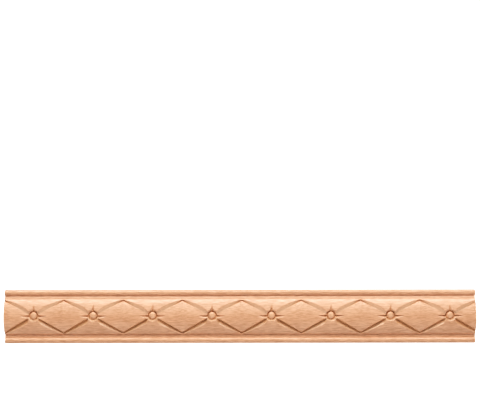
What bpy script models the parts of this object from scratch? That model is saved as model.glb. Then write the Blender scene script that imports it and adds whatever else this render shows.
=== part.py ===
"""Carved wooden moulding strip: a domed band of buttons and diamonds between two beads.

Metres, +X along the strip, +Y into the wall it is fixed to, +Z up across its width. The
origin is the middle of the flat back. Sizes below are in millimetres, and a level is a
height above the back.
"""

import math

import bmesh
import bpy
from mathutils import Matrix, Vector

MM = 0.001

LENGTH = 397.0
WIDTH = 45.0
THICKNESS = 10.0

# The fillets slope down from the dome to the beads, and the dome's edges roll over. Sizes
# kept by side are for the upper half, 1, and the lower half, -1.
BEAD_WIDTH = 5.1
BEAD_RISE = 1.6
BEAD_ROOT = 4.7
BEAD_STEPS = 8
FILLET_WIDTH = 2.4
FILLET_LEVEL = 5.1
QUIRK_WIDTH = 0.6
QUIRK_DEPTH = {1: 0.05, -1: 0.3}
DOME_STEP = 0.65
DOME_STEPS = 18
ROLL_WIDTH = 0.7
ROLL_DROP = 0.45
ROLL_STEPS = 2

BUTTON_COUNT = 8
BUTTON_PITCH = 50.0
BUTTON_RISE = 0.85
BUTTON_RADIUS = 3.0
BUTTON_FOOT_RADIUS = 3.12
BUTTON_TOP = 9.5
BUTTON_ROUNDING = 0.95
BUTTON_STEPS = 4
RING_LEVEL = 7.9
RING_FLOOR_RADIUS = 3.4
RING_WALL_RADIUS = 3.95
RING_WALL_TOP = 8.8
RING_RADIUS = 5.3
RING_SIDES = 28

# Diagonal grooves, from the ring of one button over the diamond's tip to the next ring.
# Heights are from the button's centre; widths and depths are given at the widest place
# and at the tip. A groove closes to nothing between two distances from its button.
GROOVE_START = 3.8
GROOVE_START_HEIGHT = {1: 1.5, -1: -2.9}
GROOVE_TIP_HEIGHT = {1: 13.1, -1: -14.5}
GROOVE_OUTER = {1: (3.3, 0.8), -1: (2.9, 0.7)}
GROOVE_INNER = {1: (1.2, 0.4), -1: (1.45, 0.6)}
GROOVE_DEPTH = {1: (1.15, 0.85), -1: (2.4, 0.95)}
GROOVE_CUT_START = {1: 3.15, -1: 3.65}
GROOVE_CLOSED = {1: 1.0, -1: 3.4}
GROOVE_CLOSING = 2.6
GROOVE_TAPER_POWER = 2.6
GROOVE_OPENING = 6.5
GROOVE_OPENING_SHARE = 0.3
GROOVE_STATIONS = 10
GROOVE_STATION_POWER = 1.4

# Short pleats: length from the button's centre; half widths of the two walls, on the
# greater side first, and depth at the ring; the root's height from the button's centre
# at the ring and at the tip; and the power that the taper follows.
PLEAT_START = 3.15
PLEAT_UP = (8.6, (1.7, 1.7), 1.65, (0.0, 0.0), 1.0)
PLEAT_DOWN = (7.6, (1.2, 1.2), 0.6, (0.0, 0.0), 1.0)
PLEAT_SIDE = (11.0, (1.1, 2.0), 2.1, (-0.45, -0.3), 0.65)
PLEAT_TIP_SHARE = 0.06
PLEAT_STATIONS = 5

# How far a groove's walls go on over the surface, as a share of their own length.
CUTTER_OVERSHOOT = 1.35
CUTTER_TOP = THICKNESS + 1.5

MERGE_DISTANCE = 1e-7
BEECH = (0.78, 0.43, 0.25, 1.0)
BEECH_ROUGHNESS = 0.55


def blend(first, last, share):
    """The value at this share of the way from first to last."""
    return first + (last - first) * share


def dome_half_width():
    return WIDTH / 2 - BEAD_WIDTH - FILLET_WIDTH


def dome_edge_level():
    return FILLET_LEVEL + DOME_STEP


def arc_radius(half_width, rise):
    """Radius of the circle through an arc of this half width and rise."""
    return (half_width**2 + rise**2) / (2 * rise)


def dome_level(height):
    """Level of the uncarved dome at this height from the strip's middle line."""
    radius = arc_radius(dome_half_width(), THICKNESS - dome_edge_level())
    roll = max(0.0, 1.0 - (dome_half_width() - abs(height)) / ROLL_WIDTH)
    return THICKNESS - radius + math.sqrt(radius**2 - height**2) - ROLL_DROP * roll**2


def dome_points():
    """Points over the dome from low to high height, closer together in its rolled edges."""
    flat = dome_half_width() - ROLL_WIDTH
    heights = [blend(-flat, flat, number / DOME_STEPS) for number in range(DOME_STEPS + 1)]
    rolled = [flat + ROLL_WIDTH * number / ROLL_STEPS for number in range(1, ROLL_STEPS + 1)]
    heights = [-height for height in reversed(rolled)] + heights + rolled
    return [(height, dome_level(height)) for height in heights]


def arc_points(middle, half_width, level, rise, steps):
    """Points over an arc from low to high height, both ends included."""
    radius = arc_radius(half_width, rise)
    reach = math.asin(half_width / radius)
    points = []
    for number in range(steps + 1):
        angle = blend(-reach, reach, number / steps)
        points.append(
            (middle + radius * math.sin(angle), level + rise - radius + radius * math.cos(angle))
        )
    return points


def strip_profile():
    """Outline across the strip, as (height, level) from the lower back corner round."""
    bead_middle = WIDTH / 2 - BEAD_WIDTH / 2
    foot = dome_half_width()
    return [
        (-WIDTH / 2, 0.0),
        *arc_points(-bead_middle, BEAD_WIDTH / 2, BEAD_ROOT, BEAD_RISE, BEAD_STEPS),
        (-foot - QUIRK_WIDTH, FILLET_LEVEL),
        (-foot, FILLET_LEVEL - QUIRK_DEPTH[-1]),
        *dome_points(),
        (foot, FILLET_LEVEL - QUIRK_DEPTH[1]),
        (foot + QUIRK_WIDTH, FILLET_LEVEL),
        *arc_points(bead_middle, BEAD_WIDTH / 2, BEAD_ROOT, BEAD_RISE, BEAD_STEPS),
        (WIDTH / 2, 0.0),
    ]


def placed(along, height, level):
    """A point given along the strip, by height from its middle line and by level."""
    return Vector((along * MM, -level * MM, height * MM))


def finished_mesh(name, shape):
    """A mesh datablock from a bmesh, its faces turned outwards."""
    bmesh.ops.recalc_face_normals(shape, faces=shape.faces)
    mesh = bpy.data.meshes.new(name)
    shape.to_mesh(mesh)
    shape.free()
    return mesh


def strip_mesh():
    """The uncarved strip: its profile extruded from the left end to the right one."""
    shape = bmesh.new()
    outline = [
        shape.verts.new(placed(-LENGTH / 2, height, level)) for height, level in strip_profile()
    ]
    end = shape.faces.new(outline)
    swept = bmesh.ops.extrude_face_region(shape, geom=[end], use_keep_orig=True)
    moved = [item for item in swept["geom"] if isinstance(item, bmesh.types.BMVert)]
    bmesh.ops.translate(shape, verts=moved, vec=Vector((LENGTH * MM, 0.0, 0.0)))
    return finished_mesh("moulding_strip", shape)


def loft(shape, sections):
    """A closed body through triangular sections whose size and slant change all the way."""
    rings = [[shape.verts.new(point) for point in section] for section in sections]
    for near, far in zip(rings, rings[1:]):
        for side in range(3):
            after = (side + 1) % 3
            shape.faces.new((near[side], near[after], far[after], far[side]))
    shape.faces.new(rings[0])
    shape.faces.new(rings[-1])


def overshot(bottom, edge):
    """The point past this edge of a cut, in line with its wall."""
    return bottom + (edge - bottom) * CUTTER_OVERSHOOT


def eased(share):
    """A share held to at most 1 and rounded off towards it."""
    return math.sin(min(1.0, share) * math.pi / 2)


def groove_section(distance, side):
    """Section of a diagonal groove at this distance along the strip from its button."""
    held = max(distance, GROOVE_START)
    taper = 1.0 - (held / (BUTTON_PITCH / 2)) ** GROOVE_TAPER_POWER
    opening = eased((held - GROOVE_START) / (GROOVE_OPENING - GROOVE_START))
    closing = eased((distance - GROOVE_CLOSED[side]) / GROOVE_CLOSING)
    outer = blend(GROOVE_OUTER[side][1], GROOVE_OUTER[side][0], taper)
    outer *= blend(GROOVE_OPENING_SHARE, 1.0, opening)
    inner = blend(GROOVE_INNER[side][1], GROOVE_INNER[side][0], taper)
    depth = blend(GROOVE_DEPTH[side][1], GROOVE_DEPTH[side][0], taper) * closing
    run = (held - GROOVE_START) / (BUTTON_PITCH / 2 - GROOVE_START)
    height = BUTTON_RISE + blend(GROOVE_START_HEIGHT[side], GROOVE_TIP_HEIGHT[side], run)
    outer_height = height + side * outer
    inner_height = height - side * inner
    return (
        (height, dome_level(height) - depth),
        (outer_height, dome_level(outer_height)),
        (inner_height, dome_level(inner_height)),
    )


def groove_cutter_mesh():
    """Upper and lower groove from one button's ring, over the tip, to the next ring."""
    half = BUTTON_PITCH / 2
    steps = [number / GROOVE_STATIONS for number in range(GROOVE_STATIONS + 1)]
    shape = bmesh.new()
    for side in (1, -1):
        out = [blend(GROOVE_CUT_START[side], half, step**GROOVE_STATION_POWER) for step in steps]
        stations = [(distance, distance) for distance in out]
        stations += [(BUTTON_PITCH - distance, distance) for distance in reversed(out[:-1])]
        sections = []
        for along, distance in stations:
            bottom, outer, inner = (
                placed(along, height, level) for height, level in groove_section(distance, side)
            )
            sections.append((bottom, overshot(bottom, outer), overshot(bottom, inner)))
        loft(shape, sections)
    return finished_mesh("groove_cutter", shape)


def pleat_sections(direction, size):
    """Sections of a pleat that runs from the ring in this direction, given as (x, z)."""
    length, half_widths, depth, root_heights, taper_power = size
    sections = []
    for number in range(PLEAT_STATIONS + 1):
        step = number / PLEAT_STATIONS
        distance = blend(PLEAT_START, length, step)
        share = blend(1.0, PLEAT_TIP_SHARE, step) ** taper_power
        along = direction[0] * distance
        height = BUTTON_RISE + direction[1] * distance + blend(*root_heights, step)
        bottom = placed(along, height, dome_level(height) - depth * share)
        edges = []
        for sign, half_width in zip((1, -1), half_widths):
            aside = sign * half_width * share
            edge_height = height + abs(direction[0]) * aside
            edge_along = along + abs(direction[1]) * aside
            edge = placed(edge_along, edge_height, dome_level(edge_height))
            edges.append(overshot(bottom, edge))
        sections.append((bottom, *edges))
    return sections


def pleat_cutter_mesh():
    """The four pleats of one button."""
    shape = bmesh.new()
    loft(shape, pleat_sections((0, 1), PLEAT_UP))
    loft(shape, pleat_sections((0, -1), PLEAT_DOWN))
    loft(shape, pleat_sections((1, 0), PLEAT_SIDE))
    loft(shape, pleat_sections((-1, 0), PLEAT_SIDE))
    return finished_mesh("pleat_cutter", shape)


def ring_profile():
    """What is turned away over and around a button, as (radius, level), axis to axis."""
    radius = arc_radius(BUTTON_RADIUS, BUTTON_ROUNDING)
    reach = math.asin(BUTTON_RADIUS / radius)
    button = []
    for number in range(BUTTON_STEPS + 1):
        angle = reach * number / BUTTON_STEPS
        button.append((radius * math.sin(angle), BUTTON_TOP - radius + radius * math.cos(angle)))
    wall_top = Vector((RING_WALL_RADIUS, RING_WALL_TOP))
    past_rim = overshot(wall_top, Vector((RING_RADIUS, THICKNESS)))
    return [
        *button,
        (BUTTON_FOOT_RADIUS, RING_LEVEL),
        (RING_FLOOR_RADIUS, RING_LEVEL),
        tuple(wall_top),
        tuple(past_rim),
        (past_rim[0], CUTTER_TOP),
        (0.0, CUTTER_TOP),
    ]


def ring_cutter_mesh():
    """The ring profile turned about the button's axis."""
    shape = bmesh.new()
    outline = [
        shape.verts.new(placed(radius, BUTTON_RISE, level)) for radius, level in ring_profile()
    ]
    edges = [shape.edges.new(pair) for pair in zip(outline, outline[1:])]
    bmesh.ops.spin(
        shape,
        geom=outline + edges,
        cent=placed(0.0, BUTTON_RISE, 0.0),
        axis=(0.0, 1.0, 0.0),
        angle=math.tau,
        steps=RING_SIDES,
        use_duplicate=False,
    )
    bmesh.ops.remove_doubles(shape, verts=shape.verts, dist=MERGE_DISTANCE)
    return finished_mesh("ring_cutter", shape)


def beech_material():
    material = bpy.data.materials.new("beech")
    material.use_nodes = True
    shader = material.node_tree.nodes["Principled BSDF"]
    shader.inputs["Base Color"].default_value = BEECH
    shader.inputs["Roughness"].default_value = BEECH_ROUGHNESS
    return material


def new_collection(name):
    collection = bpy.data.collections.new(name)
    bpy.context.scene.collection.children.link(collection)
    return collection


def add_cutter(mesh, first, count, strip, cutters):
    """Repeats a cutter once a pitch, starting at this place along, and cuts the strip."""
    cutter = bpy.data.objects.new(mesh.name, mesh)
    cutter.matrix_world = Matrix.Translation((first * MM, 0.0, 0.0))
    cutter.display_type = "WIRE"
    cutter.hide_render = True
    cutters.objects.link(cutter)
    row = cutter.modifiers.new("row", "ARRAY")
    row.count = count
    row.use_relative_offset = False
    row.use_constant_offset = True
    row.constant_offset_displace = (BUTTON_PITCH * MM, 0.0, 0.0)
    cut = strip.modifiers.new(mesh.name, "BOOLEAN")
    cut.operation = "DIFFERENCE"
    cut.solver = "EXACT"
    cut.object = cutter


def main():
    for leftover in list(bpy.data.objects):
        bpy.data.objects.remove(leftover)
    parts = new_collection("moulding_strip")
    cutters = new_collection("cutters")
    cutters.hide_render = True

    strip = bpy.data.objects.new("moulding_strip", strip_mesh())
    strip.data.materials.append(beech_material())
    parts.objects.link(strip)

    first_button = (BUTTON_PITCH - LENGTH) / 2
    add_cutter(ring_cutter_mesh(), first_button, BUTTON_COUNT, strip, cutters)
    add_cutter(
        groove_cutter_mesh(), first_button - BUTTON_PITCH, BUTTON_COUNT + 1, strip, cutters
    )
    add_cutter(pleat_cutter_mesh(), first_button, BUTTON_COUNT, strip, cutters)


main()
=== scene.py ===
"""Looks of a carved beech moulding strip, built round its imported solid.

The strip is one finely meshed piece: flat back, two beads, two fillets and a domed band
carved with buttons, pleats and diagonal grooves. Its shape is given in millimetres: a level
is a height above the flat back, and a height is measured up from the strip's middle line.
The grain and the studio are given in metres.
"""

import logging
import math
from dataclasses import dataclass, field
from enum import Enum

import bmesh
import bpy
import numpy as np
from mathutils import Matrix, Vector

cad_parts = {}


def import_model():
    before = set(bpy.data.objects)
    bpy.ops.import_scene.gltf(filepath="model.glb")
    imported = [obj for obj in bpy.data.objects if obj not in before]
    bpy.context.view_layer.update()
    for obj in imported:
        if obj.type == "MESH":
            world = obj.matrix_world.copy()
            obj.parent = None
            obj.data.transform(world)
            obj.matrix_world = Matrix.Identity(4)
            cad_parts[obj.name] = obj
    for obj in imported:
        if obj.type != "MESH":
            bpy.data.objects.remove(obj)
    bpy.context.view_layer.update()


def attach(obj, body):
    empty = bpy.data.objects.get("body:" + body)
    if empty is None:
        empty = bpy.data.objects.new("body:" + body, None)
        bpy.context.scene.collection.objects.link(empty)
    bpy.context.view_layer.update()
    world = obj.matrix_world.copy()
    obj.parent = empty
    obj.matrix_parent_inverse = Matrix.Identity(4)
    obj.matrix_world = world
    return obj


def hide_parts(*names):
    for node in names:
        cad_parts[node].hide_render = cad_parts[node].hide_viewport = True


MM = 0.001
TINY = 1e-6
MERGE_DISTANCE = 1e-7

# A level above everything, which cuts nothing away.
FAR_LEVEL = 1000.0
# What the carved attribute says on the tops of the buttons.
CROWN_MARK = -1.0
# Places of the columns are rounded to this many digits, so that equal ones meet.
PLACE_DIGITS = 4
# The curve of a curve mapping that bends all three colours together.
COMBINED_CURVE = 3

Point = tuple[float, float, float]
Colour = tuple[float, float, float, float]

log = logging.getLogger("moulding_strip")


class Side(Enum):
    """The half of the strip that a groove belongs to."""

    UPPER = 1
    LOWER = -1


class Pleat(Enum):
    """Direction in which a pleat leaves its button, as (along, up)."""

    UP = (0, 1)
    DOWN = (0, -1)
    RIGHT = (1, 0)
    LEFT = (-1, 0)


class Region(Enum):
    """Part of the strip's surface, and the number of its finish."""

    FACE = 0
    END = 1
    BACK = 2


def blend(first: float, last: float, share: np.ndarray) -> np.ndarray:
    """Return the value at this share of the way from first to last."""
    return first + (last - first) * share


def soft_min(one: np.ndarray, other: np.ndarray, radius: float) -> np.ndarray:
    """Take the lower of two levels, rounded where they meet.

    Args:
        one: Levels of the first surface.
        other: Levels of the second surface.
        radius: Difference in level under which the two are blended.

    Returns:
        The blended lower levels.
    """
    share = np.clip(0.5 + 0.5 * (other - one) / radius, 0.0, 1.0)
    return other + (one - other) * share - radius * share * (1.0 - share)


def soft_max(one: np.ndarray, other: np.ndarray, radius: float) -> np.ndarray:
    """Take the higher of two levels, rounded where they meet."""
    return -soft_min(-one, -other, radius)


def arc_radius(half_width: float, rise: float) -> float:
    """Return the radius of the arc with this half width and rise."""
    return (half_width**2 + rise**2) / (2.0 * rise)


def swept(outline: np.ndarray, along: np.ndarray) -> np.ndarray:
    """Repeat an outline at every column.

    Args:
        outline: The outline's points, as (height, level).
        along: Places of the columns.

    Returns:
        Points as (along, height, level), by column and row.
    """
    points = np.empty((len(along), len(outline), 3))
    points[:, :, 0] = along[:, None]
    points[:, :, 1:] = outline[None, :, :]
    return points


@dataclass(frozen=True)
class Stock:
    """Sizes of the uncarved strip; pairs are (at the upper edge, at the lower edge).

    Each edge is a bead with a fillet beside it. A quirk is the fine channel at the dome's
    foot, and the dome's own edge is rolled down a little beside it.
    """

    length: float = 397.0
    width: float = 45.0
    thickness: float = 10.0
    edge_width: float = 7.5
    bead_widths: tuple[float, float] = (5.1, 4.75)
    bead_rises: tuple[float, float] = (1.5, 1.37)
    bead_root: float = 4.7
    fillet_levels: tuple[float, float] = (5.5, 5.1)
    dome_edge_level: float = 5.75
    roll_width: float = 0.7
    roll_drops: tuple[float, float] = (0.2, 0.45)
    quirk_width: float = 0.6
    quirk_depths: tuple[float, float] = (0.0, 0.3)

    @property
    def dome_half_width(self) -> float:
        """Half the width of the domed band."""
        return self.width / 2 - self.edge_width

    def dome_level(self, height: np.ndarray) -> np.ndarray:
        """Find the level of the uncarved dome.

        Args:
            height: Heights from the strip's middle line.

        Returns:
            The dome's levels there.
        """
        radius = arc_radius(self.dome_half_width, self.thickness - self.dome_edge_level)
        inside = np.clip(radius**2 - np.square(height), 0.0, None)
        from_edge = self.dome_half_width - np.abs(height)
        roll = 1.0 - np.clip(from_edge / self.roll_width, 0.0, 1.0)
        drop = np.where(height > 0.0, *self.roll_drops)
        return self.thickness - radius + np.sqrt(inside) - drop * roll**2


@dataclass(frozen=True)
class Button:
    """Sizes of one button and the ring that it stands in.

    Its centre lies the rise above the strip's middle line. From there outwards come the
    crown, its flank, the ring's floor and wall, and the bevel between wall and dome.
    """

    rise: float = 0.85
    radius: float = 3.0
    foot_radius: float = 3.12
    top: float = 9.4
    rounding: float = 0.95
    crown_power: float = 3.0
    crown_lean: float = 0.04
    floor_level: float = 7.7
    floor_tilt: float = 0.11
    floor_radius: float = 3.4
    wall_radius: float = 3.95
    wall_top: float = 8.8
    rim_radius: float = 5.3
    shoulder: float = 0.3
    edge: float = 0.12

    def bevel_slope(self, stock: Stock) -> float:
        """Return the slope of the bevel between the ring's wall and the dome."""
        return (stock.thickness - self.wall_top) / (self.rim_radius - self.wall_radius)

    def well(self, radius: np.ndarray, up: np.ndarray, stock: Stock) -> np.ndarray:
        """Find the level of the ring's floor, wall and bevel.

        Args:
            radius: Distances from the button's centre.
            up: Heights above the button's centre.
            stock: Sizes of the uncarved strip.

        Returns:
            The well's levels, which run on upwards outside its rim.
        """
        steep = (self.wall_top - self.floor_level) / (self.wall_radius - self.floor_radius)
        wall = self.floor_level + (radius - self.floor_radius) * steep
        bevel = self.wall_top + (radius - self.wall_radius) * self.bevel_slope(stock)
        wall = soft_min(wall, bevel, self.edge)
        return soft_max(wall, self.floor_level - self.floor_tilt * up, self.edge)

    def crown(self, radius: np.ndarray, up: np.ndarray) -> np.ndarray:
        """Find the level of the button itself.

        Args:
            radius: Distances from the button's centre.
            up: Heights above the button's centre.

        Returns:
            The crown's and the flank's levels, far down outside the foot.
        """
        dome = self.top - self.rounding * (radius / self.radius) ** self.crown_power
        dome = dome + self.crown_lean * np.minimum(up, self.radius)
        drop = self.top - self.rounding - self.floor_level
        flank = self.floor_level + (self.foot_radius - radius) * drop / (
            self.foot_radius - self.radius
        )
        return soft_min(dome, flank, self.shoulder)


@dataclass(frozen=True)
class Groove:
    """Sizes of a diagonal groove; pairs are (at the button, at the tip).

    Its heights are those of the root above the button's centre, and its outer and inner
    widths run from the root to its two edges. It is shut up to the distance closed from
    the button and has its full depth closing further on. From start to opening_end its
    outer edge opens from opening_share of its width to all of it. On the upper grooves the
    diamond's face sinks to the root by sunk_share of the depth.
    """

    start_height: float
    tip_height: float
    outer: tuple[float, float]
    inner: tuple[float, float]
    depth: tuple[float, float]
    rounding: tuple[float, float]
    closed: float
    start: float = 3.8
    closing: float = 3.2
    taper_power: float = 2.6
    opening_end: float = 6.5
    opening_share: float = 0.5
    lip: float = 0.12
    sunk_share: float = 1.0
    sunk_power: float = 3.0


@dataclass(frozen=True)
class PleatShape:
    """Sizes of one pleat at the ring, and its length from the button's centre.

    The half widths are those of its two walls, the upper and the lower one on a pleat that
    lies along the strip, where the root also runs from the first offset above the button's
    centre at the ring to the second one at the tip.
    """

    length: float
    half_widths: tuple[float, float]
    depth: float
    offset: tuple[float, float] = (0.0, 0.0)
    taper_power: float = 1.0


UPPER_GROOVE = Groove(
    start_height=0.9,
    tip_height=12.5,
    outer=(4.3, 0.8),
    inner=(0.8, 0.4),
    depth=(1.1, 1.7),
    rounding=(0.6, 0.1),
    closed=1.0,
    opening_end=9.5,
    opening_share=0.55,
)
LOWER_GROOVE = Groove(
    start_height=-3.05,
    tip_height=-14.65,
    outer=(3.3, 0.7),
    inner=(1.5, 0.7),
    depth=(2.3, 1.1),
    rounding=(0.1, 0.1),
    closed=3.3,
    lip=0.15,
)
UPPER_PLEAT = PleatShape(length=8.8, half_widths=(1.7, 1.7), depth=2.0)
LOWER_PLEAT = PleatShape(length=7.6, half_widths=(1.2, 1.2), depth=0.6)
SIDE_PLEAT = PleatShape(
    length=11.8, half_widths=(1.2, 2.2), depth=2.75, offset=(-0.35, -0.6), taper_power=0.58
)


@dataclass
class Carving:
    """The repeated pattern: where the surface of the carved band lies."""

    stock: Stock = field(default_factory=Stock)
    button: Button = field(default_factory=Button)
    grooves: dict[Side, Groove] = field(
        default_factory=lambda: {Side.UPPER: UPPER_GROOVE, Side.LOWER: LOWER_GROOVE}
    )
    pleats: dict[Pleat, PleatShape] = field(
        default_factory=lambda: {
            Pleat.UP: UPPER_PLEAT,
            Pleat.DOWN: LOWER_PLEAT,
            Pleat.RIGHT: SIDE_PLEAT,
            Pleat.LEFT: SIDE_PLEAT,
        }
    )
    pitch: float = 50.0
    count: int = 8
    pleat_start: float = 3.15
    pleat_lip: float = 0.12
    # Painted shade: cuts from the gap below the button's centre downwards are darkened more,
    # fully from twice that gap.
    low_painted_shade: float = 1.2
    painted_shade_gap: float = 1.5

    @property
    def first_button(self) -> float:
        """Place of the first button along the strip."""
        return (self.pitch - self.stock.length) / 2

    def button_places(self) -> list[float]:
        """Return the places of all buttons along the strip."""
        return [self.first_button + self.pitch * number for number in range(self.count)]

    def from_button(self, along: np.ndarray) -> np.ndarray:
        """Return the signed distances along the strip from the nearest button of the row."""
        turns = np.round((along - self.first_button) / self.pitch)
        return along - self.first_button - turns * self.pitch

    def groove_keys(
        self, distance: np.ndarray, side: Side
    ) -> tuple[np.ndarray, np.ndarray, np.ndarray, np.ndarray]:
        """Find a groove's section at distances along the strip from its button.

        Args:
            distance: Unsigned distances from the button.
            side: Which groove of the pair.

        Returns:
            Heights of the root, of the outer edge and of the inner edge, and the depths.
        """
        shape = self.grooves[side]
        half = self.pitch / 2
        held = np.clip(distance, shape.start, half)
        taper = 1.0 - (held / half) ** shape.taper_power
        opening = np.clip((held - shape.start) / (shape.opening_end - shape.start), 0.0, 1.0)
        opening = np.sin(opening * math.pi / 2)
        outer = blend(shape.outer[1], shape.outer[0], taper)
        outer = outer * blend(shape.opening_share, 1.0, opening)
        inner = blend(shape.inner[1], shape.inner[0], taper)
        closed = np.clip((distance - shape.closed) / shape.closing, 0.0, 1.0)
        closed = np.sin(closed * math.pi / 2)
        depth = blend(shape.depth[1], shape.depth[0], taper) * closed
        run = (held - shape.start) / (half - shape.start)
        root = self.button.rise + blend(shape.start_height, shape.tip_height, run)
        return root, root + side.value * outer, root - side.value * inner, depth

    def sunk_slope(self, distance: np.ndarray) -> tuple[np.ndarray, np.ndarray, np.ndarray]:
        """Find how the diamonds sink towards the upper grooves, most of all at the buttons.

        Args:
            distance: Unsigned distances along the strip from the nearest button.

        Returns:
            Heights where the sinking starts and ends, and its slope between them.
        """
        shape = self.grooves[Side.UPPER]
        share = np.clip(distance / (self.pitch / 2), 0.0, 1.0)
        root, _, _, depth = self.groove_keys(distance, Side.UPPER)
        low = self.groove_keys(distance, Side.LOWER)[0]
        sunk = depth * shape.sunk_share * (1.0 - share**shape.sunk_power)
        return low, root, sunk / (root - low)

    def sinking(self, distance: np.ndarray, height: np.ndarray) -> np.ndarray:
        """Return how far the face of a diamond is sunk at these places."""
        low, root, slope = self.sunk_slope(distance)
        return np.where(height < root, np.clip(height - low, 0.0, None) * slope, 0.0)

    def groove_level(self, distance: np.ndarray, height: np.ndarray, side: Side) -> np.ndarray:
        """Find the level of a groove's two walls.

        Args:
            distance: Unsigned distances along the strip from the button.
            height: Heights from the strip's middle line.
            side: Which groove of the pair.

        Returns:
            The walls' levels, which run on past the surface.
        """
        root, outer, inner, depth = self.groove_keys(distance, side)
        dome = self.stock.dome_level
        bottom = dome(root) - depth
        outer_wall = bottom + (dome(outer) - bottom) * (height - root) / (outer - root)
        inner_wall = bottom + (dome(inner) - bottom) * (height - root) / (inner - root)
        share = np.clip(distance / (self.pitch / 2), 0.0, 1.0)
        if side is Side.UPPER:
            low, _, slope = self.sunk_slope(distance)
            inner_wall = np.minimum(inner_wall, dome(height) - slope * (height - low))
        return soft_max(outer_wall, inner_wall, blend(*self.grooves[side].rounding, share))

    def pleat_level(self, across: np.ndarray, height: np.ndarray, pleat: Pleat) -> np.ndarray:
        """Find the level of a pleat's two walls.

        Args:
            across: Signed distances along the strip from the button.
            height: Heights from the strip's middle line.
            pleat: Which of the four pleats.

        Returns:
            The pleat's levels, far above the surface on the button's other side.
        """
        shape = self.pleats[pleat]
        up = height - self.button.rise
        forward = across * pleat.value[0] + up * pleat.value[1]
        share = (shape.length - np.maximum(forward, self.pleat_start)) / (
            shape.length - self.pleat_start
        )
        offset = blend(shape.offset[1], shape.offset[0], share)
        share = np.sign(share) * np.abs(share) ** shape.taper_power
        aside = across if pleat.value[0] == 0 else up - offset
        reach = np.where(aside > 0.0, shape.half_widths[0], shape.half_widths[1])
        level = self.stock.dome_level(height) + shape.depth * (np.abs(aside) / reach - share)
        return np.where(forward > 0.0, level, FAR_LEVEL)

    def level(self, along: np.ndarray, height: np.ndarray) -> np.ndarray:
        """Find the level of the carved surface on the dome.

        Args:
            along: Places along the strip.
            height: Heights from the strip's middle line.

        Returns:
            The surface's levels there.
        """
        across = self.from_button(along)
        distance = np.abs(across)
        up = height - self.button.rise
        radius = np.hypot(across, up)
        level = self.stock.dome_level(height)
        for pleat in Pleat:
            level = soft_min(level, self.pleat_level(across, height, pleat), self.pleat_lip)
        for side in Side:
            lip = self.grooves[side].lip
            level = soft_min(level, self.groove_level(distance, height, side), lip)
        level = soft_min(level, self.button.well(radius, up, self.stock), self.button.edge)
        return soft_max(level, self.button.crown(radius, up), self.button.edge)

    def painted_shade_factor(self, height: np.ndarray) -> np.ndarray:
        """Return how many times more painted shade the cuts at these heights get, more of it
        below the buttons.
        """
        below = self.button.rise - self.painted_shade_gap - height
        return 1.0 + self.low_painted_shade * np.clip(below / self.painted_shade_gap, 0.0, 1.0)

    def marks(self, along: np.ndarray, height: np.ndarray, level: np.ndarray) -> np.ndarray:
        """Work out the carved attribute, from which the finish takes its painted shade and the
        buttons' paler tops.

        Args:
            along: Places along the strip.
            height: Heights from the strip's middle line.
            level: Levels of the carved surface there.

        Returns:
            How deep each place is cut, scaled up below the buttons for more painted shade, or
            the crown's mark on a button.
        """
        across = self.from_button(along)
        depth = self.stock.dome_level(height) - level
        depth = np.clip(depth - self.sinking(np.abs(across), height), 0.0, None)
        # More painted shade in the cuts below the buttons.
        depth = depth * self.painted_shade_factor(height)
        on_crown = np.hypot(across, height - self.button.rise) < self.button.radius
        return np.where(on_crown, CROWN_MARK, depth)


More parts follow.
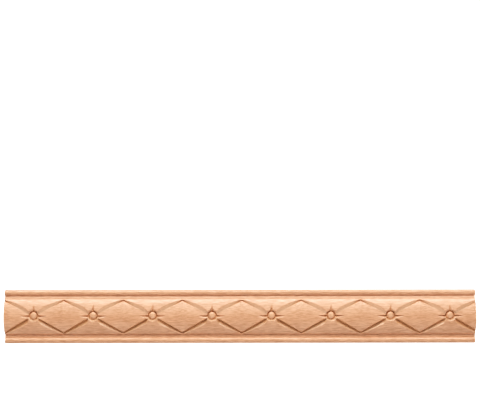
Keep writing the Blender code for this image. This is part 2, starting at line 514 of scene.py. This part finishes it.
@dataclass
class CarvedStrip:
    """The whole strip as one closed mesh whose rows follow the grooves.

    The corner lies between a long side and its bead, the foot is the step up to the dome,
    and the edge gap keeps the dome's last row off that step.
    """

    carving: Carving = field(default_factory=Carving)
    name: str = "carved_strip"
    fine_step: float = 0.22
    fine_reach: float = 5.5
    coarse_columns: int = 29
    bead_rows: int = 10
    diamond_rows: int = 9
    inner_rows: int = 3
    outer_rows: int = 6
    near_rows: int = 10
    far_rows: int = 5
    roll_rows: int = 4
    near_width: float = 2.9
    near_share: float = 0.4
    roll_share: float = 0.35
    back_rows: int = 4
    side_levels: tuple[float, float] = (1.2, 3.0)
    corner: float = 0.35
    corner_width: float = 0.12
    foot_width: float = 0.06
    foot_drop: float = 0.05
    edge_gap: float = 0.02
    end_chamfer: float = 0.4
    back_facing: float = 0.99
    crease_angle: float = math.radians(38.0)

    def columns(self) -> np.ndarray:
        """Place the mesh's columns, close together near the buttons.

        Returns:
            The columns' places along the strip, from left to right.
        """
        half = self.carving.pitch / 2
        fine = np.arange(0.0, self.fine_reach, self.fine_step)
        coarse = np.linspace(self.fine_reach, half, self.coarse_columns)
        reach = np.concatenate([fine, coarse])
        end = self.carving.stock.length / 2
        inside = end - 2 * self.end_chamfer
        places = [-end, self.end_chamfer - end, end - self.end_chamfer, end]
        for middle in self.carving.button_places():
            for sign in (-1.0, 1.0):
                places += [place for place in middle + sign * reach if abs(place) < inside]
        return np.array(sorted({round(float(place), PLACE_DIGITS) for place in places}))

    def edge_outline(
        self,
        bead_width: float,
        bead_rise: float,
        fillet_level: float,
        quirk_depth: float,
        roll_drop: float,
    ) -> np.ndarray:
        """Draw the outline of an edge, from the back to the dome's foot.

        Args:
            bead_width: Width of the bead.
            bead_rise: How far the bead stands out.
            fillet_level: Level of the fillet at the dome's foot.
            quirk_depth: How deep the quirk there is.
            roll_drop: How far the dome's edge is rounded down.

        Returns:
            The outline's points for the lower edge, as (height, level).
        """
        stock = self.carving.stock
        low = -stock.width / 2
        points = [(low, level) for level in (0.0, *self.side_levels)]
        points.append((low, stock.bead_root - self.corner))
        points.append((low + self.corner_width, stock.bead_root))
        middle = low + bead_width / 2
        bend = arc_radius(bead_width / 2, bead_rise)
        reach = math.asin(bead_width / 2 / bend)
        for number in range(1, self.bead_rows + 1):
            angle = -reach + 2 * reach * number / self.bead_rows
            level = stock.bead_root + bead_rise - bend + bend * math.cos(angle)
            points.append((middle + bend * math.sin(angle), level))
        dome_edge = -stock.dome_half_width
        fillet_width = stock.edge_width - bead_width
        slope = (fillet_level - stock.bead_root) / fillet_width
        for back in (fillet_width / 2, stock.quirk_width):
            points.append((dome_edge - back, fillet_level - back * slope))
        points.append((dome_edge - self.foot_width, fillet_level - quirk_depth))
        points.append((dome_edge, stock.dome_edge_level - roll_drop - self.foot_drop))
        return np.array(points)

    def dome_heights(self, along: np.ndarray) -> np.ndarray:
        """Place the dome's rows, so that they follow the grooves' roots and edges.

        Args:
            along: Places of the columns.

        Returns:
            Heights, one line for each column and one place for each row.
        """
        stock = self.carving.stock
        distance = np.abs(self.carving.from_button(along))
        middle = np.full_like(distance, self.carving.button.rise)
        counts = (
            self.diamond_rows,
            self.inner_rows,
            self.outer_rows,
            self.near_rows,
            self.far_rows,
            self.roll_rows,
        )
        halves = []
        for side in (Side.LOWER, Side.UPPER):
            root, outer, inner, _ = self.carving.groove_keys(distance, side)
            edge = np.full_like(distance, side.value * (stock.dome_half_width - self.edge_gap))
            room = np.abs(edge - outer)
            near = outer + side.value * np.minimum(self.near_width, self.near_share * room)
            roll = edge - side.value * np.minimum(stock.roll_width, self.roll_share * room)
            keys = [middle, inner, root, outer, near, roll, edge]
            rows = [middle]
            for start, stop, count in zip(keys, keys[1:], counts):
                for number in range(1, count + 1):
                    rows.append(start + (stop - start) * number / count)
            halves.append(rows)
        return np.stack(halves[0][:0:-1] + halves[1], axis=1)

    def drawn_to_rings(
        self, along: np.ndarray, height: np.ndarray
    ) -> tuple[np.ndarray, np.ndarray]:
        """Draw the points that lie close to one of a button's circles onto it.

        Args:
            along: Places of the points along the strip.
            height: Their heights from the strip's middle line.

        Returns:
            The new places and heights.
        """
        button = self.carving.button
        across = self.carving.from_button(along)
        up = height - button.rise
        radius = np.maximum(np.hypot(across, up), TINY)
        slope = button.bevel_slope(self.carving.stock)
        dome = self.carving.stock.dome_level(height)
        rim = button.wall_radius + (dome - button.wall_top) / slope
        drawn = radius.copy()
        nearest = np.full_like(radius, self.fine_step / 2)
        rings = (button.radius, button.foot_radius, button.floor_radius, button.wall_radius, rim)
        for ring in rings:
            gap = np.abs(radius - ring)
            close = gap < nearest
            drawn = np.where(close, ring, drawn)
            nearest = np.where(close, gap, nearest)
        factor = drawn / radius
        return along + across * (factor - 1.0), button.rise + up * factor

    def drawn_in(self, loop: np.ndarray) -> np.ndarray:
        """Draw an end's outline in by the chamfer on every side.

        Args:
            loop: The end's points, as (along, height, level).

        Returns:
            The same points, drawn in.
        """
        reach = self.carving.stock.width / 2 - self.end_chamfer
        drawn = loop.copy()
        drawn[:, 1] = np.clip(loop[:, 1], -reach, reach)
        drawn[:, 2] = np.maximum(loop[:, 2] - self.end_chamfer, self.end_chamfer)
        return drawn

    def surface(self) -> tuple[np.ndarray, np.ndarray]:
        """Work out where each grid point goes.

        Returns:
            Points in metres and how deep each is carved, by column and row. The last row
            lies on the first, so that the grid closes to a tube.
        """
        along = self.columns()
        stock = self.carving.stock
        upper, lower = (
            self.edge_outline(*sizes)
            for sizes in zip(
                stock.bead_widths,
                stock.bead_rises,
                stock.fillet_levels,
                stock.quirk_depths,
                stock.roll_drops,
            )
        )
        upper = upper[::-1] * np.array([-1.0, 1.0])
        back = np.linspace(stock.width / 2, -stock.width / 2, self.back_rows + 1)[1:]
        back = np.stack([back, np.zeros_like(back)], axis=1)

        heights = self.dome_heights(along)
        places = np.repeat(along[:, None], heights.shape[1], axis=1)
        places, heights = self.drawn_to_rings(places, heights)
        levels = self.carving.level(places, heights)
        dome = np.stack([places, heights, levels], axis=2)

        sections = [swept(lower, along), dome, swept(upper, along), swept(back, along)]
        points = np.concatenate(sections, axis=1)
        carved = np.zeros(points.shape[:2])
        marks = self.carving.marks(places, heights, levels)
        carved[:, len(lower) : len(lower) + marks.shape[1]] = marks
        for column in (0, -1):
            points[column] = self.drawn_in(points[column])
        metres = np.stack([points[..., 0], -points[..., 2], points[..., 1]], axis=2) * MM
        return metres, carved

    def region(self, face: bmesh.types.BMFace) -> Region:
        """Tell which part of the strip's surface a face belongs to.

        Args:
            face: The face.

        Returns:
            Its region.
        """
        if face.normal.y > self.back_facing:
            return Region.BACK
        if abs(face.calc_center_median().x) > self.carving.stock.length / 2 * MM - TINY:
            return Region.END
        return Region.FACE

    def build(self) -> bpy.types.Object:
        """Build the strip's mesh from a grid and link it to the scene.

        Returns:
            The strip's object, with no finish on it yet.
        """
        points, carved = self.surface()
        columns, rows = points.shape[:2]
        shape = bmesh.new()
        bmesh.ops.create_grid(shape, x_segments=columns - 1, y_segments=rows - 1, size=0.5)
        layer = shape.verts.layers.float.new("carved")
        for vert in shape.verts:
            column = round((vert.co.x + 0.5) * (columns - 1))
            row = round((vert.co.y + 0.5) * (rows - 1))
            vert[layer] = carved[column, row]
            vert.co = points[column, row]
        bmesh.ops.remove_doubles(shape, verts=shape.verts, dist=MERGE_DISTANCE)
        ends = [edge for edge in shape.edges if edge.is_boundary]
        bmesh.ops.holes_fill(shape, edges=ends, sides=0)
        bmesh.ops.recalc_face_normals(shape, faces=shape.faces)
        for face in shape.faces:
            face.smooth = True
            face.material_index = self.region(face).value
        for edge in shape.edges:
            if edge.is_manifold and edge.calc_face_angle() > self.crease_angle:
                edge.smooth = False
        mesh = bpy.data.meshes.new(self.name)
        shape.to_mesh(mesh)
        shape.free()
        strip = bpy.data.objects.new(self.name, mesh)
        bpy.context.scene.collection.objects.link(strip)
        return strip


class NodeSheet:
    """A node tree with short ways to add and join nodes."""

    def __init__(self, tree: bpy.types.NodeTree) -> None:
        """Keep the tree that the nodes go into."""
        self.tree = tree

    def add(self, kind: str, **settings: object) -> bpy.types.Node:
        """Add a node.

        Args:
            kind: The node's type.
            **settings: Properties to set on it.

        Returns:
            The new node.
        """
        node = self.tree.nodes.new(kind)
        for key, value in settings.items():
            setattr(node, key, value)
        return node

    def feed(self, socket: bpy.types.NodeSocket, value: object) -> None:
        """Join a socket to another, or set its constant value.

        Args:
            socket: The input that is fed.
            value: An output socket, or a number or colour.
        """
        if isinstance(value, bpy.types.NodeSocket):
            self.tree.links.new(value, socket)
        else:
            socket.default_value = value

    def math(self, operation: str, *values: object) -> bpy.types.NodeSocket:
        """Add a Math node.

        Args:
            operation: What it does.
            *values: What it works on, sockets or numbers.

        Returns:
            Its result.
        """
        node = self.add("ShaderNodeMath", operation=operation)
        for socket, value in zip(node.inputs, values):
            self.feed(socket, value)
        return node.outputs[0]

    def weighted(self, value: object, weight: float) -> bpy.types.NodeSocket:
        """Return a value times a weight."""
        return self.math("MULTIPLY", value, weight)

    def scaled(self, vector: object, scale: Point) -> bpy.types.NodeSocket:
        """Scale a vector along each axis.

        Args:
            vector: The vector's socket.
            scale: Factors along X, Y and Z.

        Returns:
            The scaled vector.
        """
        node = self.add("ShaderNodeVectorMath", operation="MULTIPLY")
        self.feed(node.inputs[0], vector)
        node.inputs[1].default_value = scale
        return node.outputs[0]

    def noise(
        self, vector: object, scale: Point, detail: float, roughness: float = 0.5
    ) -> bpy.types.NodeSocket:
        """Add noise over a vector.

        Args:
            vector: Where the noise is read.
            scale: Features in a metre along X, Y and Z.
            detail: How many finer layers it has.
            roughness: How strong those layers are.

        Returns:
            The noise, from about 0 to 1.
        """
        node = self.add("ShaderNodeTexNoise")
        self.feed(node.inputs["Vector"], self.scaled(vector, scale))
        node.inputs["Scale"].default_value = 1.0
        node.inputs["Detail"].default_value = detail
        node.inputs["Roughness"].default_value = roughness
        return node.outputs["Fac"]

    def remap(
        self, value: object, low: float, high: float, first: float = 0.0, last: float = 1.0
    ) -> bpy.types.NodeSocket:
        """Map a value smoothly from one range to another.

        Args:
            value: The value's socket.
            low: Start of its range.
            high: End of its range.
            first: What the start becomes.
            last: What the end becomes.

        Returns:
            The mapped value.
        """
        node = self.add("ShaderNodeMapRange", interpolation_type="SMOOTHSTEP")
        for socket, given in zip(node.inputs, (value, low, high, first, last)):
            self.feed(socket, given)
        return node.outputs[0]

    def mix(self, factor: object, first: object, second: object) -> bpy.types.NodeSocket:
        """Mix two colours.

        Args:
            factor: Share of the second colour.
            first: The first colour.
            second: The second colour.

        Returns:
            The mixed colour.
        """
        node = self.add("ShaderNodeMix", data_type="RGBA")
        self.feed(node.inputs["Factor"], factor)
        self.feed(node.inputs["A"], first)
        self.feed(node.inputs["B"], second)
        return node.outputs["Result"]


@dataclass(frozen=True)
class BeechGrain:
    """Sizes of the wood's grain, which lies along X; scales count features in a metre.

    Streaks are made of fibres and shorter dashes, and flecks come in patches. The growth
    rings run round a pith behind the strip and below it: from_pith is the strip's origin
    seen from there, as (Y, Z).
    """

    fibre_scale: Point = (60.0, 1800.0, 1800.0)
    fibre_share: float = 0.4
    dash_scale: Point = (160.0, 2400.0, 2400.0)
    dash_range: tuple[float, float] = (0.36, 0.64)
    dash_share: float = 0.6
    band_scale: Point = (9.0, 170.0, 170.0)
    band_range: tuple[float, float] = (0.3, 0.7)
    fleck_scale: Point = (420.0, 2600.0, 2600.0)
    fleck_edge: tuple[float, float] = (0.12, 0.42)
    patch_scale: Point = (70.0, 500.0, 500.0)
    patch_range: tuple[float, float] = (0.42, 0.6)
    from_pith: tuple[float, float] = (-0.085, 0.022)
    wander_scale: Point = (3.0, 40.0, 40.0)
    wander: float = 0.0045
    rings_in_metre: float = 520.0
    ring_range: tuple[float, float] = (0.55, 1.0)

    def streaks(self, sheet: NodeSheet, entry: object) -> bpy.types.NodeSocket:
        """Add fine streaks of fibres and dashes.

        Args:
            sheet: The group's nodes.
            entry: The group's vector.

        Returns:
            The streaks, from 0 to 1.
        """
        fibres = sheet.noise(entry, self.fibre_scale, detail=3.0, roughness=0.6)
        dashes = sheet.noise(entry, self.dash_scale, detail=1.0)
        dashes = sheet.remap(dashes, *self.dash_range, 0.0, self.dash_share)
        return sheet.math("ADD", sheet.weighted(fibres, self.fibre_share), dashes)

    def bands(self, sheet: NodeSheet, entry: object) -> bpy.types.NodeSocket:
        """Return slow, broad changes of tone."""
        slow = sheet.noise(entry, self.band_scale, detail=2.0)
        return sheet.remap(slow, *self.band_range)

    def flecks(self, sheet: NodeSheet, entry: object) -> bpy.types.NodeSocket:
        """Add the short dark flecks of beech.

        Args:
            sheet: The group's nodes.
            entry: The group's vector.

        Returns:
            The flecks, from 0 to 1.
        """
        cells = sheet.add("ShaderNodeTexVoronoi", feature="F1")
        sheet.feed(cells.inputs["Vector"], sheet.scaled(entry, self.fleck_scale))
        cells.inputs["Scale"].default_value = 1.0
        cells.inputs["Randomness"].default_value = 1.0
        spots = sheet.remap(cells.outputs["Distance"], *self.fleck_edge, 1.0, 0.0)
        patches = sheet.noise(entry, self.patch_scale, detail=2.0)
        return sheet.math("MULTIPLY", spots, sheet.remap(patches, *self.patch_range))

    def rings(self, sheet: NodeSheet, entry: object) -> bpy.types.NodeSocket:
        """Add growth rings round the pith, slightly wandering.

        Args:
            sheet: The group's nodes.
            entry: The group's vector.

        Returns:
            The rings, from 0 to 1 where the late wood is darkest.
        """
        part = sheet.add("ShaderNodeSeparateXYZ")
        sheet.feed(part.inputs[0], entry)
        front = sheet.math("ADD", part.outputs["Y"], self.from_pith[0])
        above = sheet.math("ADD", part.outputs["Z"], self.from_pith[1])
        squares = sheet.math(
            "ADD", sheet.math("POWER", front, 2.0), sheet.math("MULTIPLY", above, above)
        )
        wander = sheet.noise(entry, self.wander_scale, detail=1.0)
        radius = sheet.math("SQRT", squares)
        radius = sheet.math("ADD", radius, sheet.weighted(wander, self.wander))
        phase = sheet.math("FRACT", sheet.weighted(radius, self.rings_in_metre))
        return sheet.remap(phase, *self.ring_range)

    def group(self) -> bpy.types.NodeTree:
        """Build the node group that all finishes of the strip share.

        Returns:
            A group with the outputs Streaks, Bands, Flecks and Rings, all from 0 to 1.
        """
        tree = bpy.data.node_groups.new("beech_grain", "ShaderNodeTree")
        tree.interface.new_socket("Vector", in_out="INPUT", socket_type="NodeSocketVector")
        effects = {
            "Streaks": self.streaks,
            "Bands": self.bands,
            "Flecks": self.flecks,
            "Rings": self.rings,
        }
        for name in effects:
            tree.interface.new_socket(name, in_out="OUTPUT", socket_type="NodeSocketFloat")
        sheet = NodeSheet(tree)
        entry = sheet.add("NodeGroupInput").outputs["Vector"]
        leave = sheet.add("NodeGroupOutput")
        for name, effect in effects.items():
            sheet.feed(leave.inputs[name], effect(sheet, entry))
        return tree


@dataclass(frozen=True)
class BeechFinish:
    """One finish of the strip's beech, from its grain and its carving.

    Shallow cuts take a greyer painted shade that fades out again in deep ones, which take a
    darker painted shade; these three ranges are depths in millimetres. The buttons' tops are
    painted paler.
    The bump's distance is in metres.
    """

    name: str
    pale: Colour
    dark: Colour
    fleck: Colour
    streaks: float = 0.5
    bands: float = 0.5
    flecks: float = 0.5
    rings: float = 0.2
    # How strongly shade is painted into the cuts, by their depth.
    carving: float = 0.0
    # Painted shade: a greyer tint on shallow cuts, and a darker one in deep cuts.
    shallow: Colour = (0.71, 0.48, 0.34, 1.0)
    shallow_range: tuple[float, float] = (0.05, 0.4)
    fading_range: tuple[float, float] = (0.9, 1.5)
    painted_shade: Colour = (0.53, 0.33, 0.185, 1.0)
    painted_shade_range: tuple[float, float] = (0.8, 1.5)
    # The buttons' tops are painted paler towards this colour, by the share below.
    crown: Colour = (0.87, 0.55, 0.375, 1.0)
    crown_paling: float = 0.5
    roughness: float = 0.5
    roughness_spread: float = 0.12
    roughness_range: tuple[float, float] = (0.25, 0.75)
    specular: float = 0.4
    bump: float = 0.25
    bump_distance: float = 0.00006
    fleck_depth: float = 0.5

    def grain_colour(self, sheet: NodeSheet, group: bpy.types.Node) -> bpy.types.NodeSocket:
        """Colour the uncarved wood by its grain.

        Args:
            sheet: The material's nodes.
            group: The grain's group node.

        Returns:
            The wood's colour.
        """
        tone = sheet.weighted(group.outputs["Streaks"], self.streaks)
        for effect, weight in (("Bands", self.bands), ("Rings", self.rings)):
            tone = sheet.math("ADD", tone, sheet.weighted(group.outputs[effect], weight))
        colour = sheet.mix(tone, self.pale, self.dark)
        return sheet.mix(
            sheet.weighted(group.outputs["Flecks"], self.flecks), colour, self.fleck
        )

    def carved_colour(self, sheet: NodeSheet, colour: object) -> bpy.types.NodeSocket:
        """Paint shade into the carving by its depth, and paint the buttons' tops paler.

        Args:
            sheet: The material's nodes.
            colour: The wood's colour.

        Returns:
            The tinted colour.
        """
        carved = sheet.add("ShaderNodeAttribute", attribute_name="carved").outputs["Fac"]
        # Painted shade: a greyer tint in shallow cuts, fading out in deep ones.
        cut = sheet.math(
            "MULTIPLY",
            sheet.remap(carved, *self.shallow_range, 0.0, self.carving),
            sheet.remap(carved, *self.fading_range, 1.0, 0.0),
        )
        colour = sheet.mix(cut, colour, self.shallow)
        # Painted shade: darker in the deep cuts.
        inside = sheet.remap(carved, *self.painted_shade_range, 0.0, self.carving)
        colour = sheet.mix(inside, colour, self.painted_shade)
        # The buttons' tops are painted paler.
        crown = sheet.remap(carved, CROWN_MARK, CROWN_MARK / 2, self.crown_paling, 0.0)
        return sheet.mix(crown, colour, self.crown)

    def material(self, grain: bpy.types.NodeTree) -> bpy.types.Material:
        """Build the material.

        Args:
            grain: The shared grain group.

        Returns:
            A material with colour, roughness and bump from the grain.
        """
        material = bpy.data.materials.new(self.name)
        material.use_nodes = True
        sheet = NodeSheet(material.node_tree)
        shader = material.node_tree.nodes["Principled BSDF"]
        group = sheet.add("ShaderNodeGroup", node_tree=grain)
        sheet.feed(group.inputs["Vector"], sheet.add("ShaderNodeTexCoord").outputs["Object"])

        colour = self.grain_colour(sheet, group)
        if self.carving > 0.0:
            colour = self.carved_colour(sheet, colour)
        sheet.feed(shader.inputs["Base Color"], colour)

        rough = sheet.remap(group.outputs["Streaks"], *self.roughness_range)
        lowest = self.roughness - self.roughness_spread / 2
        rough = sheet.math("MULTIPLY_ADD", rough, self.roughness_spread, lowest)
        sheet.feed(shader.inputs["Roughness"], rough)
        shader.inputs["Specular IOR Level"].default_value = self.specular

        pits = sheet.weighted(group.outputs["Flecks"], self.fleck_depth)
        bump = sheet.add("ShaderNodeBump")
        bump.inputs["Strength"].default_value = self.bump
        bump.inputs["Distance"].default_value = self.bump_distance
        height = sheet.math("SUBTRACT", group.outputs["Streaks"], pits)
        sheet.feed(bump.inputs["Height"], height)
        sheet.feed(shader.inputs["Normal"], bump.outputs["Normal"])
        return material


FINISHES: dict[Region, BeechFinish] = {
    Region.FACE: BeechFinish(
        name="beech_face",
        pale=(0.86, 0.535, 0.37, 1.0),
        dark=(0.61, 0.335, 0.203, 1.0),
        fleck=(0.43, 0.22, 0.12, 1.0),
        streaks=1.0,
        bands=0.12,
        flecks=0.35,
        rings=0.08,
        # Weight of the shade painted into the cuts.
        carving=0.5,
        roughness=0.4,
        specular=0.95,
    ),
    Region.END: BeechFinish(
        name="beech_end",
        pale=(0.70, 0.40, 0.23, 1.0),
        dark=(0.46, 0.23, 0.12, 1.0),
        fleck=(0.34, 0.15, 0.07, 1.0),
        streaks=0.35,
        bands=0.1,
        flecks=0.3,
        rings=0.55,
        roughness=0.7,
        specular=0.2,
        bump=0.5,
    ),
    Region.BACK: BeechFinish(
        name="beech_back",
        pale=(0.82, 0.50, 0.31, 1.0),
        dark=(0.60, 0.32, 0.18, 1.0),
        fleck=(0.40, 0.18, 0.09, 1.0),
        streaks=0.75,
        bands=0.3,
        flecks=0.3,
        rings=0.1,
        roughness=0.68,
        specular=0.25,
        bump=0.6,
    ),
}


@dataclass(frozen=True)
class SoftLight:
    """One large area light; its spread is the angle that its light fans out over."""

    name: str
    place: Point
    size: tuple[float, float]
    power: float
    aim: Point = (0.0, 0.0, 0.0)
    spread: float = math.pi

    def build(self) -> bpy.types.Object:
        """Add the light, turned to where it aims.

        Returns:
            The light's object.
        """
        data = bpy.data.lights.new(self.name, "AREA")
        data.shape = "RECTANGLE"
        data.size, data.size_y = self.size
        data.energy = self.power
        data.spread = self.spread
        lamp = bpy.data.objects.new(self.name, data)
        lamp.location = self.place
        direction = Vector(self.aim) - Vector(self.place)
        lamp.rotation_euler = direction.to_track_quat("-Z", "Y").to_euler()
        bpy.context.scene.collection.objects.link(lamp)
        return lamp


def end_light(name: str, sign: float) -> SoftLight:
    """Place a light beside one end, narrow enough to miss the floor.

    Args:
        name: The light's name.
        sign: -1 for the left end and 1 for the right one.

    Returns:
        The light, not built yet.
    """
    return SoftLight(
        name=name,
        place=(1.2 * sign, 0.3, 0.1),
        size=(0.4, 0.2),
        power=0.12,
        aim=(0.2 * sign, 0.0, 0.0),
        spread=math.radians(20),
    )


@dataclass
class Studio:
    """Pale floor, soft light and the camera in front of the strip."""

    floor_level: float = -0.30
    floor_size: float = 2.4
    floor_colour: Colour = (0.93, 0.93, 0.93, 1.0)
    floor_roughness: float = 0.9
    floor_glow: float = 0.55
    camera_distance: float = 0.699
    field_width: float = 0.4054
    field_distance: float = 0.694
    sensor: float = 36.0
    near_clip: float = 0.01
    lift: float = 0.2247
    roll: float = math.radians(0.083)
    white: Colour = (1.0, 1.0, 1.0, 1.0)
    world_power: float = 0.12
    backdrop: float = 1.3
    lights: tuple[SoftLight, ...] = (
        SoftLight("high_key", (0.0, -0.609, 0.975), (1.8, 0.22), 13.4),
        SoftLight("front_key", (0.0, -0.996, 0.575), (1.8, 0.5), 4.25),
        SoftLight("fill", (0.0, -1.4, 0.0), (2.0, 1.2), 0.35),
        SoftLight("top_rim", (0.0, -0.15, 1.1), (1.8, 0.4), 3.0),
        SoftLight("rear", (0.0, 1.1, 0.5), (1.8, 0.8), 9.0),
        end_light("left_side", -1.0),
        end_light("right_side", 1.0),
    )
    film_contrast: float = 1.9
    film_shoulder: float = 0.76
    film_points: int = 9

    def floor_material(self) -> bpy.types.Material:
        """Build the floor's pale finish, lifted only where the camera sees it directly.

        Returns:
            The material.
        """
        material = bpy.data.materials.new("pale_floor")
        material.use_nodes = True
        sheet = NodeSheet(material.node_tree)
        nodes = material.node_tree.nodes
        shader = nodes["Principled BSDF"]
        shader.inputs["Base Color"].default_value = self.floor_colour
        shader.inputs["Roughness"].default_value = self.floor_roughness
        glow = sheet.add("ShaderNodeEmission")
        glow.inputs["Strength"].default_value = self.floor_glow
        both = sheet.add("ShaderNodeAddShader")
        sheet.feed(both.inputs[0], shader.outputs[0])
        sheet.feed(both.inputs[1], glow.outputs[0])
        mixed = sheet.add("ShaderNodeMixShader")
        seen = sheet.add("ShaderNodeLightPath").outputs["Is Camera Ray"]
        sheet.feed(mixed.inputs["Fac"], seen)
        sheet.feed(mixed.inputs[1], shader.outputs[0])
        sheet.feed(mixed.inputs[2], both.outputs[0])
        sheet.feed(nodes["Material Output"].inputs["Surface"], mixed.outputs[0])
        return material

    def add_floor(self) -> None:
        """Add the floor, far enough below that it throws little light back up."""
        shape = bmesh.new()
        bmesh.ops.create_grid(shape, x_segments=1, y_segments=1, size=self.floor_size / 2)
        bmesh.ops.translate(shape, verts=shape.verts, vec=(0.0, 0.0, self.floor_level))
        mesh = bpy.data.meshes.new("floor")
        shape.to_mesh(mesh)
        shape.free()
        mesh.materials.append(self.floor_material())
        floor = bpy.data.objects.new("floor", mesh)
        bpy.context.scene.collection.objects.link(floor)

    def add_world(self) -> None:
        """Set the surroundings: white to the camera, softer as light."""
        world = bpy.data.worlds.new("studio")
        world.use_nodes = True
        sheet = NodeSheet(world.node_tree)
        nodes = world.node_tree.nodes
        glow = nodes["Background"]
        glow.inputs["Color"].default_value = self.white
        glow.inputs["Strength"].default_value = self.world_power
        bright = sheet.add("ShaderNodeBackground")
        bright.inputs["Color"].default_value = self.white
        bright.inputs["Strength"].default_value = self.backdrop
        mixed = sheet.add("ShaderNodeMixShader")
        seen = sheet.add("ShaderNodeLightPath").outputs["Is Camera Ray"]
        sheet.feed(mixed.inputs["Fac"], seen)
        sheet.feed(mixed.inputs[1], glow.outputs[0])
        sheet.feed(mixed.inputs[2], bright.outputs[0])
        sheet.feed(nodes["World Output"].inputs["Surface"], mixed.outputs[0])
        bpy.context.scene.world = world

    def add_camera(self) -> None:
        """Set the camera straight in front, its picture shifted so the strip sits low."""
        data = bpy.data.cameras.new("camera")
        data.sensor_width = self.sensor
        data.lens = self.sensor * self.field_distance / self.field_width
        data.shift_y = self.lift
        data.clip_start = self.near_clip
        camera = bpy.data.objects.new("camera", data)
        camera.location = (0.0, -self.camera_distance, 0.0)
        camera.rotation_euler = (math.pi / 2, self.roll, 0.0)
        bpy.context.scene.collection.objects.link(camera)
        bpy.context.scene.camera = camera

    def film(self, light: float) -> float:
        """Return the film's response to this much light, with a soft shoulder."""
        bent = light**self.film_contrast
        return (1.0 + self.film_shoulder) * bent / (bent + self.film_shoulder)

    def set_film(self) -> None:
        """Give the picture the contrast of a plain studio photograph."""
        view = bpy.context.scene.view_settings
        view.view_transform = "Standard"
        view.use_curve_mapping = True
        curve = view.curve_mapping.curves[COMBINED_CURVE]
        curve.points[-1].location = (1.0, 1.0)
        curve.points[0].location = (0.0, 0.0)
        for number in range(1, self.film_points):
            place = number / self.film_points
            curve.points.new(place, self.film(place))
        view.curve_mapping.update()

    def build(self) -> None:
        """Add floor, surroundings, lights, camera and film."""
        self.add_floor()
        self.add_world()
        for light in self.lights:
            light.build()
        self.add_camera()
        self.set_film()


def main() -> None:
    """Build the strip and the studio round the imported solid."""
    logging.basicConfig(level=logging.INFO, format="%(message)s")
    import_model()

    strip = CarvedStrip().build()
    grain = BeechGrain().group()
    for region in Region:
        strip.data.materials.append(FINISHES[region].material(grain))
    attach(strip, "root")
    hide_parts("moulding_strip")
    log.info("%s: %d faces", strip.name, len(strip.data.polygons))

    Studio().build()
    log.info("studio: floor, surroundings, lights and camera")


if __name__ == "__main__":
    main()
